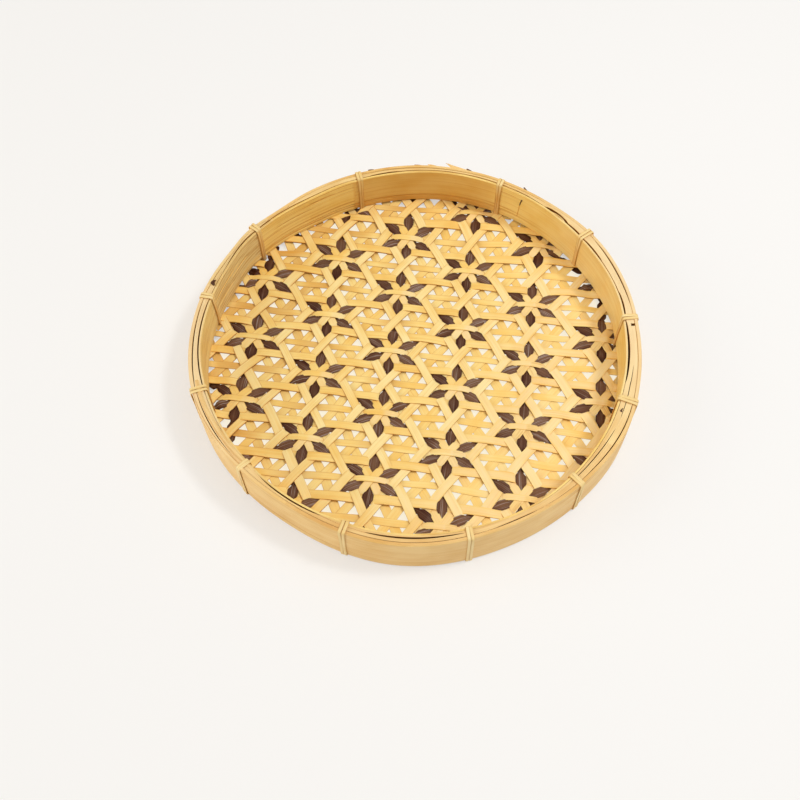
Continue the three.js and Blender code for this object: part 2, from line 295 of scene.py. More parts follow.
def split_bamboo_group():
    group = bpy.data.node_groups.new("split_bamboo", "ShaderNodeTree")
    for way, sockets in GROUP_SOCKETS.items():
        for name, kind in sockets.items():
            group.interface.new_socket(name, in_out=way, socket_type="NodeSocket" + kind)
    given = group.nodes.new("NodeGroupInput").outputs
    grain, wear_and_painted_light = given["Grain"], given["Wear_and_painted_light"]
    fibres = noise_of(group, grain, (28, 3600, 7.7), 3)
    streaks = noise_of(group, grain, (11, 750, 3.3), 2)
    drift = noise_of(group, grain, (42, 70, 5.9), 2)
    number = add_node(group, "SeparateXYZ", {0: grain}).outputs["Z"]
    own_tone = add_node(group, "TexWhiteNoise", {"W": number}, noise_dimensions="1D")
    tone = maths(group, "MULTIPLY", spread(group, fibres, 0.3, 0.7, -0.2, 0.2), given["Contrast"])
    tone = maths(group, "ADD", tone, spread(group, streaks, 0.3, 0.7, -0.25, 0.25))
    tone = maths(group, "ADD", tone, spread(group, drift, 0.3, 0.7, -0.5, 0.5))
    tone = maths(group, "ADD", tone, spread(group, own_tone.outputs["Value"], 0, 1, 0.3, 0.6))
    shown = mix(group, tone, given["Pale"], given["Golden"])

    weathered = spread(group, wear_and_painted_light, -2.0, -1.0, 1.0, 0.0)
    shown = mix(group, maths(group, "MULTIPLY", weathered, 0.75), shown, WEATHERED_GREY)
    cut = maths(group, "SUBTRACT", spread(group, wear_and_painted_light, -1.0, 0.0, 0.5, 0.0), weathered)
    shown = mix(group, cut, shown, FRESH_CUT)

    # Wear as well as painted shade: from 0.72 up this browns the colour, and from 2 to 3 it darkens it to
    # scar brown. Besides rubbed edges and scars, pieces send painted shade here: under strip edges, in the
    # mat's openings, in splits and between the hoops.
    rubbed_and_shade = spread(group, wear_and_painted_light, 0.72, 1.0, 0.0, 0.35)
    browned_and_shade = maths(group, "ADD", rubbed_and_shade, spread(group, wear_and_painted_light, 1.0, 2.0, 0.0, 0.65))
    dark_fibre = spread(group, fibres, 0.64, 0.8, 0.0, 0.45)
    long_lines = spread(group, noise_of(group, grain, (6, 1500, 9.1), 3), 0.54, 0.64, 0.0, 1.0)
    fibrous = maths(group, "MAXIMUM", spread(group, wear_and_painted_light, 0.1, 0.5, 0.2, 1.0), weathered)
    dark_line = maths(group, "MULTIPLY", maths(group, "MULTIPLY", long_lines, given["Lines"]), fibrous)
    strands = spread(group, noise_of(group, grain, (60, 1100, 4.7), 3), 0.48, 0.62, 0.0, 0.75)
    strands = maths(group, "MULTIPLY", strands, weathered)
    darkened = browned_and_shade
    for mark in (dark_fibre, dark_line, strands):
        darkened = maths(group, "MAXIMUM", darkened, mark)
    shown = mix(group, darkened, shown, GRAIN_WEAR_AND_SHADE_BROWN, blend_type="MULTIPLY")
    shown = mix(group, spread(group, wear_and_painted_light, 2.0, 3.0, 0.0, 1.0), shown, SCAR_AND_SHADE_BROWN)

    relief = spread(group, weathered, 0, 1, 0.6, 2.4)
    height = maths(group, "MULTIPLY", maths(group, "ADD", fibres, streaks), relief)
    rough = spread(group, fibres, 0.3, 0.7, 0.4, 0.6)
    results = group.nodes.new("NodeGroupOutput").inputs
    for name, value in (("Color", shown), ("Height", height), ("Roughness", rough)):
        group.links.new(value, results[name])
    return group


SPLIT_BAMBOO = split_bamboo_group()
print("node group:", SPLIT_BAMBOO.name, len(SPLIT_BAMBOO.nodes), "nodes")

# %% Finishes: pale strips, star strips, bindings, hoops and filler
FIBRE_RELIEF, FIBRE_DEPTH = 0.25, 0.25 * MM


def dry_surface(tree, shown, rough, height, relief, depth, shine=0.5):
    """The shader of a finish, with its fibres raised a little."""
    bump = add_node(tree, "Bump", {"Height": height, "Strength": relief, "Distance": depth})
    shader = add_node(tree, "BsdfPrincipled", {
        "Base Color": shown, "Roughness": rough, "Normal": bump.outputs["Normal"],
        "Specular IOR Level": shine,
    })
    add_node(tree, "OutputMaterial", {"Surface": shader.outputs[0]})


def bamboo(name, pale, golden, contrast=1.0, lines=0.0):
    """A bamboo finish: the shared grain in two colours, on a dry, faintly shining surface."""
    material = bpy.data.materials.new(name)
    tree = blank_tree(material)
    group = add_node(tree, "Group", {
        "Grain": kept_on_points(tree, "grain", "Vector"), "Wear_and_painted_light": kept_on_points(tree, "wear_and_painted_light", "Fac"),
        "Pale": colour(*pale), "Golden": colour(*golden), "Contrast": contrast, "Lines": lines,
    }, node_tree=SPLIT_BAMBOO).outputs
    dry_surface(tree, group["Color"], group["Roughness"], group["Height"], FIBRE_RELIEF, FIBRE_DEPTH)
    return material


PALE_FINISH = bamboo("pale_split_bamboo", (255, 229, 158), (248, 204, 110))
# A darker, more golden copy of the pale finish for the wide strips of the first direction: painted shade.
SHADED_WIDE_FINISH = bamboo("wide_bamboo_painted_shade", (254, 220, 134), (245, 195, 94))
STAR_FINISH = bamboo("golden_split_bamboo", (255, 224, 142), (250, 202, 100))
BINDING_FINISH = bamboo("binding_bamboo", (252, 226, 162), (238, 198, 118), 1.2)
OUTER_FINISH = bamboo("outer_hoop_bamboo", (250, 211, 138), (235, 186, 103), 0.9, 0.45)
INNER_FINISH = bamboo("inner_hoop_bamboo", (254, 221, 135), (243, 196, 95), 1.2, 0.75)
FILLER_FINISH = bamboo("filler_bamboo", (252, 219, 150), (234, 188, 110), 1.2)
print("finishes that share the grain:", SPLIT_BAMBOO.users)

# %% [markdown]
# ## Black strips
# The petals are the same bamboo, dyed a dark red brown. The dye has taken unevenly, and a grey
# sheen with bright glints is painted on the fibres, more on some petals than on others. The bamboo
# group would make it golden, so this finish has its own colours over the same kind of noise, and
# the value kept on the points says how much painted grey sheen shows.

# %% Finish: dyed black bamboo with painted sheen
DYED_BROWN, DYE_AND_SHEEN_GREY, PAINTED_GLINT = colour(62, 26, 12), colour(119, 84, 60), colour(200, 192, 186)
DYED_RELIEF, DYED_DEPTH, DYED_SHINE = 0.3, 0.2 * MM, 0.12


def dyed_bamboo(name):
    material = bpy.data.materials.new(name)
    tree = blank_tree(material)
    grain = kept_on_points(tree, "grain", "Vector")
    fibres = noise_of(tree, grain, (30, 2600, 7.7), 3)
    drift = noise_of(tree, grain, (60, 120, 5.1), 2)
    # Painted sheen: the value kept on the points, with noise, mixes the dark dye towards grey, and bright
    # fibre streaks paint glints.
    sheen = kept_on_points(tree, "wear_and_painted_light", "Fac")
    sheen = maths(tree, "ADD", sheen, spread(tree, drift, 0.3, 0.7, -0.35, 0.35))
    sheen = maths(tree, "ADD", sheen, spread(tree, fibres, 0.3, 0.7, -0.3, 0.3))
    glint_amount = spread(tree, fibres, 0.54, 0.7, 0.0, 0.7)
    glint_amount = maths(tree, "MULTIPLY", glint_amount, spread(tree, sheen, 0.5, 1.2, 0.0, 1.0))
    shown = mix(tree, glint_amount, mix(tree, sheen, DYED_BROWN, DYE_AND_SHEEN_GREY), PAINTED_GLINT)
    rough = spread(tree, fibres, 0.3, 0.7, 0.34, 0.55)
    dry_surface(tree, shown, rough, fibres, DYED_RELIEF, DYED_DEPTH, DYED_SHINE)
    return material


BLACK_FINISH = dyed_bamboo("black_dyed_bamboo")
print("dyed finish:", BLACK_FINISH.name)

# %% [markdown]
# ## The weave's plan
# The mat is worked out on an even grid whose flowers are 1 apart. Wide strips pass between the
# flowers, star strips pass through their middles, and black strips cross both sets. The grid is
# then stretched to the real pitches, turned and moved to its place on the plate, with the values
# that the part was made with, so that each woven strip lies where its solid does, except near the
# rim.

# %% Lines of the weave
FLOWER_PITCH = 43.6 * MM
COLUMN_PITCH = 41.6 * MM
WEAVE_TURN = radians(-7.8)
FLOWER_PLACE = Vector((-16.0 * MM, 6.0 * MM))
MAT_RADIUS = 122.1 * MM
LAST_STRIP = 0.953 * MAT_RADIUS
ROOT_THREE = sqrt(3)
STEP = 1 / (2 * ROOT_THREE)
PALE_DIRECTIONS = (0, 60, 120)
BLACK_DIRECTIONS = (90, 30, 150)
PALE_SPACING, BLACK_SPACING, MOST_LINES = 0.5, ROOT_THREE / 2, 14


def on_mat(across, along):
    """A place on the even grid as a place on the plate."""
    flat = Vector((across * COLUMN_PITCH * 2 / ROOT_THREE, along * FLOWER_PITCH))
    return Matrix.Rotation(WEAVE_TURN, 2) @ flat + FLOWER_PLACE


def strip_line(degrees, offset):
    """One straight line of the weave: its heading, its foot nearest the middle, and its scale."""
    angle = radians(degrees)
    start = on_mat(-offset * sin(angle), offset * cos(angle))
    ahead = on_mat(cos(angle) - offset * sin(angle), sin(angle) + offset * cos(angle))
    heading = (ahead - start).normalized()
    nearest = -start.dot(heading)
    return SimpleNamespace(
        heading=heading,
        sideways=Vector((-heading.y, heading.x)),
        foot=start + heading * nearest,
        scale=(ahead - start).length,
        nearest=nearest,
    )


def lines_across(directions, spacing, shift):
    """Every line of one set that crosses the mat, numbered in its own direction."""
    found = []
    for direction, degrees in enumerate(directions):
        number = 0
        for index in range(-MOST_LINES, MOST_LINES + 1):
            line = strip_line(degrees, (index + shift) * spacing)
            if line.foot.length < LAST_STRIP:
                number += 1
                line.direction, line.index, line.number = direction, index, number
                found.append(line)
    return found


wide_lines = lines_across(PALE_DIRECTIONS, PALE_SPACING, shift=0.5)
star_lines = lines_across(PALE_DIRECTIONS, PALE_SPACING, shift=0.0)
black_lines = lines_across(BLACK_DIRECTIONS, BLACK_SPACING, shift=0.0)
print("strips: wide", len(wide_lines), "star", len(star_lines), "black", len(black_lines))

# %% [markdown]
# ## Over and under
# Where strips cross they share the height between them. Each strip has marks along its line, one
# at every crossing, and a smooth curve through the marks is its path. A wide strip goes over the
# next direction and under the last, and dips where a petal lies on it. A star strip rises on top
# at a flower's middle, passes under every wide crossing and sags in the openings. A black strip
# comes up only for its petals. Heights are in mm from the middle of the wide strips.

# %% Heights of each strip at its crossings
WIDE_RISE, WIDE_LIFT, WIDE_DIP = 0.4, 0.2, -0.62
STAR_ON_FLOWER = (0.95, 0.6, 0.25)
STAR_IN_OPENING = (-0.95, -1.35, -1.75)
STAR_BEFORE_CROSSING, STAR_UNDER_PETALS, STAR_UNDER_CROSSING = -0.55, -1.0, -1.0
BLACK_ON_FLOWER = (-0.15, -0.5, -0.85)
BLACK_UNDER_STAR, BLACK_PETAL, BLACK_UNDER_CROSSING = -0.5, 0.42, -1.4
REACH, BLACK_REACH = 42, 8


def wide_marks(line):
    marks = [(3 * STEP * turn, WIDE_DIP) for turn in range(-REACH, REACH)]
    for count in range(-REACH, REACH):
        place = line.index - 0.5 + count
        lift = WIDE_LIFT if place % 3 == 1.5 else 0.0
        marks.append((place * STEP, lift + (WIDE_RISE if count % 2 == 0 else -WIDE_RISE)))
    return sorted(marks)


def star_marks(line):
    flower, opening = STAR_ON_FLOWER[line.direction], STAR_IN_OPENING[line.direction]
    marks = []
    for turn in range(-REACH // 6, REACH // 6):
        start = 6 * STEP * (turn + 0.5 * (line.index % 2))
        heights = (
            (0, flower), (0.32, flower - 0.12), (0.72, STAR_BEFORE_CROSSING), (1, STAR_UNDER_PETALS),
            (2, opening), (3, STAR_UNDER_CROSSING), (4, opening),
            (5, STAR_UNDER_PETALS), (5.28, STAR_BEFORE_CROSSING), (5.68, flower - 0.12),
        )
        marks += [(start + steps * STEP, height) for steps, height in heights]
    return sorted(marks)


def black_marks(line):
    flower = BLACK_ON_FLOWER[line.direction]
    half = (
        (0, flower), (0.1, min(flower, BLACK_UNDER_STAR)), (0.15, BLACK_UNDER_STAR),
        (0.19, BLACK_PETAL - 0.2), (0.25, BLACK_PETAL), (0.30, BLACK_PETAL - 0.12),
        (0.33, BLACK_PETAL - 0.53), (0.37, BLACK_UNDER_CROSSING + 0.3), (0.5, BLACK_UNDER_CROSSING),
    )
    marks = []
    for turn in range(-BLACK_REACH, BLACK_REACH):
        start = turn + 0.5 * (line.index % 2)
        marks += [(start + away, height) for away, height in half]
        marks += [(start - away, height) for away, height in half[1:-1]]
    return sorted(marks)


sample = wide_marks(wide_lines[5])
print("wide strip heights, mm:", [round(smooth_curve(sample, 0.1 * n), 2) for n in range(10)])

# %% [markdown]
# ## Laying the strips
# At the rim every strip runs down under the inner hoop and ends between the hoops. Near there the
# mat is crowded and buckled, because the hoop was forced down on it. Each strip also has its own
# width, a slow wander and a buckle at each end, from a seeded random number, so that the plate
# comes out the same each time. The pale strips are painted paler at the front right, a painted
# sheen, and a little more golden at the left, painted shade.

# %% Helpers: how the mat lies and its painted light
MAT_FLAT = 111 * MM
MAT_AT_RIM, MAT_SAG = 3.5 * MM, 1.0 * MM
PULL_FROM, PULL_TO = 88 * MM, 109 * MM
PULL, PULL_BACK, PULL_TOWARDS = 2.6 * MM, 2.4 * MM, 66
# Painted light across the mat: a painted sheen towards the front right and painted shade at the left.
MAT_SHEEN_TOWARDS = round_plate(-25, 1, 0).to_2d()
MAT_PAINTED_SHADE, MAT_SHADE_SIDE = 0.35, (30 * MM, 100 * MM)
MAT_PAINTED_SHEEN, MAT_SHEEN_SIDE = 0.8, (-10 * MM, 80 * MM)


def eased(value, start, end):
    share = min(max((value - start) / (end - start), 0.0), 1.0)
    return share * share * (3 - 2 * share)


def mat_height(radius):
    """The mat hangs from under the inner hoop and sags towards the table in the middle."""
    return MAT_AT_RIM - MAT_SAG * max(0.0, 1 - (radius / MAT_FLAT) ** 2)


def pulled(flat):
    """Near the rim the maker pulled the weave outward a little, most of all at the back."""
    away = atan2(flat.y, flat.x) - radians(PULL_TOWARDS)
    most = PULL + PULL_BACK * max(0.0, cos(2 * away)) * (cos(away) > 0)
    return flat * (1 + most * eased(flat.length, PULL_FROM, PULL_TO) / max(flat.length, MM))


def mat_painted_light(flat):
    """The pale strips are painted a little more golden at the left as shade, and paler at the front right
    as a sheen.
    """
    along = flat.dot(MAT_SHEEN_TOWARDS)
    return MAT_PAINTED_SHADE * eased(-along, *MAT_SHADE_SIDE) - MAT_PAINTED_SHEEN * eased(along, *MAT_SHEEN_SIDE)


def short_of_hoop(flat):
    """How far a place on the mat is inside the inner hoop's face."""
    return inner_face(in_degrees(atan2(flat.y, flat.x))) - flat.length


print("mat height at the middle, mm:", round(mat_height(0) / MM, 2))

# %% One woven strip
STATION, STRIP_ROWS, EDGE_ROWS = 0.5 * MM, 4, 0.3
CROWN = 0.07 * MM
EDGE_FROM, EDGE_TO = 4.5 * MM, 0.8 * MM
BUCKLE_FROM, BUCKLE_LENGTH = 108 * MM, 14 * MM
BUCKLE, WANDER, WANDER_RATE, ANY_PHASE = (-0.1, 0.35), (0.1, 0.3), (0.2, 0.9), 6.3
PAST_INNER_FACE = 2.4 * MM
EDGE_TOP, EDGE_LAYER = INNER_BOTTOM - 0.45 * MM, 0.25 * MM
# Strip edges are browned, partly as cut edges and partly as painted shade along them, and the lower edge of
# each cut side is painted dark as shade.
CUT_SIDE_AND_SHADE, EDGE_BROWN_AND_SHADE, LAST_ROW = 3.0, 1.5, 0.99
HALVINGS = 24


def reach_along(line, way):
    """How far the strip goes from its foot before it is well under the inner hoop."""
    near, far = 0.0, 2 * MAT_RADIUS
    for _ in range(HALVINGS):
        reach = (near + far) / 2
        under = short_of_hoop(pulled(line.foot + line.heading * reach * way)) < -PAST_INNER_FACE
        near, far = (near, reach) if under else (reach, far)
    return near


def woven_strip(line, marks, half_width, thickness, layer, seed, tone, slack=lambda grid: 1.0):
    """The shape of one strip on its line, over and under the others, that ends in its own layer.

    tone(grid, side, flat) gives the wear and painted light of its upper face, and slack(grid) how freely it
    wanders.
    """
    rng = random.Random(seed)
    edge_height = EDGE_TOP - EDGE_LAYER * (layer + line.direction)
    waves = [
        (rng.uniform(*WANDER) * MM, rng.uniform(*WANDER_RATE), rng.uniform(0, ANY_PHASE)) for _ in range(2)
    ]
    buckle = {way: rng.uniform(*BUCKLE) * MM for way in (-1, 1)}
    from_foot, to_foot = -reach_along(line, -1), reach_along(line, 1)
    steps = round((to_foot - from_foot) / STATION)

    def place(share, side, face):
        along = from_foot + (to_foot - from_foot) * share
        grid = (line.nearest + along) / line.scale
        wander = sum(size * sin(rate * ANY_PHASE * grid + phase) for size, rate, phase in waves)
        across = copysign(abs(side) ** EDGE_ROWS, side) * half_width(grid)
        flat = pulled(line.foot + line.heading * along + line.sideways * (across + slack(grid) * wander))
        at_edge = eased(EDGE_FROM - short_of_hoop(flat), 0.0, EDGE_FROM - EDGE_TO)
        lifted = sin(pi * min(max((flat.length - BUCKLE_FROM) / BUCKLE_LENGTH, 0), 1))
        woven = mat_height(flat.length) + smooth_curve(marks, grid) * MM
        height = woven * (1 - at_edge) + edge_height * at_edge
        height += buckle[1 if along > 0 else -1] * lifted * lifted
        crown = -CROWN * side * side if face > 0 else 0.0
        point = Vector((flat.x, flat.y, height + face * thickness / 2 + crown))
        # Painted shade: the lower edge of a strip's side is painted dark.
        wear_and_painted_light = CUT_SIDE_AND_SHADE if face < 0 and abs(side) > LAST_ROW else tone(grid, side, flat)
        return point, (along, across, seed), wear_and_painted_light

    return split_strip(steps, STRIP_ROWS, place)


def from_flower(line, grid, period):
    """How far along its line a place is from the nearest flower middle, on the even grid."""
    return (grid - 0.5 * period * (line.index % 2) + period / 2) % period - period / 2


print("steps along the longest strip, about:", round(2 * MAT_RADIUS / STATION))

# %% Wide strips
WIDE_WIDTH, WIDE_THICKNESS = 5.1 * MM, 0.8 * MM
PALE_SPREAD = (0.94, 1.06)
LETTERS = "abc"
for order, line in enumerate(wide_lines):
    width = WIDE_WIDTH * random.Random(order).uniform(*PALE_SPREAD)
    shape = woven_strip(
        line, wide_marks(line), lambda grid: width / 2, WIDE_THICKNESS, layer=0, seed=100 + order,
        tone=lambda grid, side, flat: EDGE_BROWN_AND_SHADE * side * side + mat_painted_light(flat),
    )
    node = f"wide_strip_{LETTERS[line.direction]}{line.number:02d}"
    # Painted shade: the first direction takes the darker copy of the pale finish.
    finish = SHADED_WIDE_FINISH if line.direction == 0 else PALE_FINISH
    make_piece("woven_" + node, [shape], finish, "pale_bamboo", node)
print("wide strips laid:", len(wide_lines))

# %% [markdown]
# A star strip is pinched at each flower and lies loose and flat in the openings between, so it is
# a little wider there and wanders. Next to a flower's middle it slopes, and the arm that faces the
# window is painted paler, a painted sheen. In the openings it is painted more golden, as shade.

# %% Star strips
STAR_WIDTHS, STAR_THICKNESS = (3.7 * MM, 4.6 * MM, 4.6 * MM), 0.4 * MM
STAR_PERIOD = ROOT_THREE
STAR_WANDER, STAR_FLATTENED = 3.4, 0.2
# Painted shade makes the star strips more golden in the openings, and painted sheen makes one arm paler.
STAR_OPENING_SHADE = (1.0, 0.8, 0.8)
STAR_EDGE = 0.9
SHEEN_ARM, ARM_SHEEN, ARM_FROM, ARM_TO = (1, -1, -1), 0.7, (0.0, 0.07), (0.17, 0.26)


def freedom(line, grid):
    """0 at a flower's middle, 1 half way to the next."""
    return sin(pi * from_flower(line, grid, STAR_PERIOD) / STAR_PERIOD) ** 2


def star_shade_and_sheen(line):
    def tone(grid, side, flat):
        arm = from_flower(line, grid, STAR_PERIOD) * SHEEN_ARM[line.direction]
        # Painted sheen on the arm that faces the window, painted shade towards the openings.
        pale = ARM_SHEEN * eased(arm, *ARM_FROM) * (1 - eased(arm, *ARM_TO))
        golden = STAR_OPENING_SHADE[line.direction] * freedom(line, grid)
        return (golden - pale if abs(side) < STAR_EDGE else EDGE_BROWN_AND_SHADE) + mat_painted_light(flat)
    return tone


for order, line in enumerate(star_lines):
    width = STAR_WIDTHS[line.direction] * random.Random(50 + order).uniform(*PALE_SPREAD)
    shape = woven_strip(
        line, star_marks(line), lambda grid: width / 2 * (1 + STAR_FLATTENED * freedom(line, grid)),
        STAR_THICKNESS, layer=3, seed=200 + order,
        tone=star_shade_and_sheen(line), slack=lambda grid: STAR_WANDER * freedom(line, grid),
    )
    name = f"woven_star_strip_{LETTERS[line.direction]}{line.number:02d}"
    make_piece(name, [shape], STAR_FINISH, "pale_bamboo", "star_strips")
print("star strips laid:", len(star_lines))

# %% [markdown]
# A petal shows as a pointed leaf, because the wide strips beyond it and the star strips at the
# flower's middle lie over its corners. A black strip squeezed through there folds in a little, so
# its width narrows just where it dives and is full again where it lies flat.

# %% Black strips
BLACK_WIDTHS, BLACK_THICKNESS = (6.0 * MM, 5.6 * MM, 5.6 * MM), 0.36 * MM
BLACK_SPREAD = (0.95, 1.05)
# Painted sheen of each petal: the grey sheen the strip's two halves get by direction, more along its
# middle, and more at the front.
PETAL_SHEEN = ((0.45, 0.15), (0.9, 0.6), (0.25, 0.55))
PETAL_FROM, PETAL_TO = 6.3 * MM, 14.8 * MM
NARROWEST = 1.45 * MM
MIDDLE_SHEEN, FRONT_SHEEN, FRONT = 0.3, 0.15, 80 * MM
TAPER = tan(radians(30))


def black_half_width(line, width):
    def half_width(grid):
        away = abs(from_flower(line, grid, 1)) * line.scale
        inner = NARROWEST + abs(away - PETAL_FROM) * TAPER
        outer = NARROWEST + abs(PETAL_TO - away) * TAPER
        return min(width / 2, inner, outer)
    return half_width


def petal_painted_sheen(line):
    ahead, behind = PETAL_SHEEN[line.direction]

    def tone(grid, side, flat):
        turned = ahead if from_flower(line, grid, 1) > 0 else behind
        return turned + MIDDLE_SHEEN * (1 - 2 * abs(side)) + FRONT_SHEEN * eased(-flat.y, 0.0, FRONT)

    return tone


for order, line in enumerate(black_lines):
    width = BLACK_WIDTHS[line.direction] * random.Random(90 + order).uniform(*BLACK_SPREAD)
    shape = woven_strip(
        line, black_marks(line), black_half_width(line, width), BLACK_THICKNESS, layer=6, seed=300 + order,
        tone=petal_painted_sheen(line),
    )
    name = f"woven_black_strip_{LETTERS[line.direction]}{line.number:02d}"
    make_piece(name, [shape], BLACK_FINISH, "black_bamboo", "black_strips")
print("black strips laid:", len(black_lines))

# %% [markdown]
# ## The two hoops
# Each hoop is one wide strip bent into a ring, its two ends thinned and lapped for about 25
# degrees. A spun ring would have no lap, so the strip helper makes it: the strip goes round a
# little more than once, and over the lap its start keeps the face that shows and its end lies
# behind it. Bamboo also splits along its fibres, so a list says where a shallow split runs on the
# face.

# %% Helpers: splits and tones of the hoops
# Painted light on the inner hoop's face: painted shade makes the back more golden, most of all low down,
# and a painted highlight makes the right paler.
GOLDEN_FROM, GOLDEN_FULL, GOLDEN_TO, BACK_SHADE = 50, 72, 108, 1.1
BAND_BELOW, BAND_EDGE, BAND_SHADE = 0.48, 0.54, 0.4
PALE_FROM, PALE_TO, RIGHT_HIGHLIGHT = 12, 36, -0.4
FIBRES_SHOW = 0.5
WEATHERED_FROM, WEATHERED_TO, WEATHERED, LESS_WEATHERED = 141, 221, -2.0, 0.5
STAINED_FROM, STAINED_TO, STAINED, STAIN_FADES = 136, 164, -1.5, 8
PALEST_AT, RUBBED, RUBBED_BACK = 10, 0.9, 0.78
OUTER_SPLITS = [(-12, 225, 252), (14, 300, 331), (-6, 330, 372), (10, 95, 160)]
INNER_SPLITS = [
    (-12, 40, 152), (-15, 96, 150), (3, 147, 155), (8, 152, 166), (-4, 156, 168),
    (13, 114, 124), (6, 120, 137), (-8, 172, 205), (-10, 205, 250),
]


def swell(degrees, stretches):
    """0 outside the listed stretches, rising to the given width in the middle of each."""
    for start, end, width in stretches:
        into = (degrees - start) % 360
        if into < end - start:
            return width * sqrt(sin(pi * into / (end - start)))
    return 0.0


def split_at(splits, degrees, row):
    """How open a split is at this row of the hoop, from 0 to 1."""
    return swell(degrees, [(start, end, 1.0) for at, start, end in splits if at == row])


def top_tone(degrees):
    """The rim's top is freshly cut and pale at the left and right, rubbed at the back and front."""
    if STAINED_FROM < degrees % 360 < STAINED_TO:
        return STAINED
    paleness = cos(2 * radians(degrees - PALEST_AT))
    if paleness > 0:
        return -paleness
    return RUBBED_BACK if sin(radians(degrees)) > 0 else RUBBED


def inside_wear_and_shade(degrees, side):
    """The inner hoop is painted golden at the back as shade, more so in its lowest band, painted paler at
    the right as a highlight, and weathered on the left.
    """
    if WEATHERED_FROM < degrees < WEATHERED_TO:
        return WEATHERED + LESS_WEATHERED * eased(degrees, STAINED_TO, STAINED_TO + STAIN_FADES)
    if degrees > GOLDEN_TO:
        return FIBRES_SHOW * (degrees < WEATHERED_FROM)
    if degrees < GOLDEN_FROM:
        return RIGHT_HIGHLIGHT * eased(degrees, 0, PALE_FROM) * (1 - eased(degrees, PALE_TO, GOLDEN_FROM))
    golden = BACK_SHADE * eased(degrees, GOLDEN_FROM, GOLDEN_FULL)
    return golden * (1 + BAND_SHADE * eased(-side, BAND_BELOW, BAND_EDGE))


print("tone of the inner hoop at the back and left:", inside_wear_and_shade(90, 0), inside_wear_and_shade(180, 0))

# %% Bend the hoops
HOOP_STEP, HOOP_ROWS = 1.0, 48
EASED_EDGE, CORNER_FROM, CORNER_INSET = 0.4 * MM, 0.8, 0.16
THIN_END, SPLIT_DEPTH, BELLY = 0.15, 0.35 * MM, 0.3 * MM
TOP_WAVE, TOP_WAVES = (0.1, 0.25), (3, 5, 7, 11)
BACK_FROM, BACK_TO = -0.7, 0.8
GAP_SHADE, SPLIT_SHADE, INSIDE_RUBBED = 2.5, 2.0, 0.3


def hoop(lap_from, lap, face_at, bottom, top, thickness, outward, splits, seed):
    """A bent strip whose outer face (outward 1) or inner face (outward -1) follows face_at."""
    rng = random.Random(seed)
    waves = [
        (rng.uniform(*TOP_WAVE) * MM, rng.choice(TOP_WAVES), rng.uniform(0, ANY_PHASE)) for _ in range(4)
    ]
    turns = 360 + lap

    def thinned(past_end):
        return thickness * min(1.0, THIN_END + (1 - THIN_END) * past_end / lap)

    def place(share, side, face):
        gone = turns * share
        degrees = lap_from + gone
        angle = radians(degrees)
        thick = min(thinned(gone), thinned(turns - gone))
        corner = max(0.0, abs(side) - CORNER_FROM) / (1 - CORNER_FROM)
        wave = sum(size * sin(rate * angle + phase) for size, rate, phase in waves)
        flat_half = (top - bottom) / 2 - EASED_EDGE
        height = copysign(flat_half * min(abs(side) / CORNER_FROM, 1) + EASED_EDGE * corner, side)
        height += (top + bottom) / 2 + (wave if side > 0 else 0.0) * max(side, 0)
        under_start = thinned(gone - 360) if gone > 360 else 0.0
        split = split_at(splits, degrees, round(side * HOOP_ROWS / 2)) if face > 0 else 0.0
        front = -split * SPLIT_DEPTH if face > 0 else -thick
        inset = thick * CORNER_INSET * corner * (-1 if face > 0 else 1)
        belly = BELLY * (1 - side * side)
        radius = face_at(degrees) + outward * (front + inset - under_start + belly)
        wear_and_painted_light = inside_wear_and_shade(degrees % 360, side) if outward < 0 else 0.0
        if side > 0 and corner:
            wear_and_painted_light = (top_tone(degrees) if outward > 0 else min(top_tone(degrees), INSIDE_RUBBED)) * corner
        # Painted shade: the hidden back of each hoop, down between the hoops, is painted dark.
        if face < 0 and BACK_FROM < side < BACK_TO:
            wear_and_painted_light = GAP_SHADE
        # Painted shade: a split is drawn golden brown.
        wear_and_painted_light = SPLIT_SHADE * split if split else wear_and_painted_light
        return round_plate(degrees, radius, height), (angle * RIM_RADIUS, height, seed), wear_and_painted_light

    return split_strip(round(turns / HOOP_STEP), HOOP_ROWS, place)


OUTER_LAP, INNER_LAP = (196, 24), (108, 28)
outer_shape = hoop(
    *OUTER_LAP, outer_face, RIM_BOTTOM, RIM_TOP, OUTER_HOOP_THICKNESS,
    outward=1, splits=OUTER_SPLITS, seed=11,
)
inner_shape = hoop(
    *INNER_LAP, inner_face, INNER_BOTTOM, INNER_TOP, INNER_HOOP_THICKNESS,
    outward=-1, splits=INNER_SPLITS, seed=12,
)
print("hoops bent, splits:", len(OUTER_SPLITS), "outside", len(INNER_SPLITS), "inside")

# %% [markdown]
# ## Splinters and a scar
# Hand work leaves traces. A pale flake has lifted from the outer hoop at the back, a few dark
# fibres stand off its edge, and the inner hoop keeps the dark scar of a cane's joint. Each is a
# short strip on a bent path: points are given as angle, radius and height in degrees and mm, and
# the strip tapers to its end.

# %% Helper: a short strip on a bent path
SHORT_STEPS, SHORT_ROWS, A_LITTLE, GRAIN_LENGTH = 4, 2, 0.02, 20 * MM


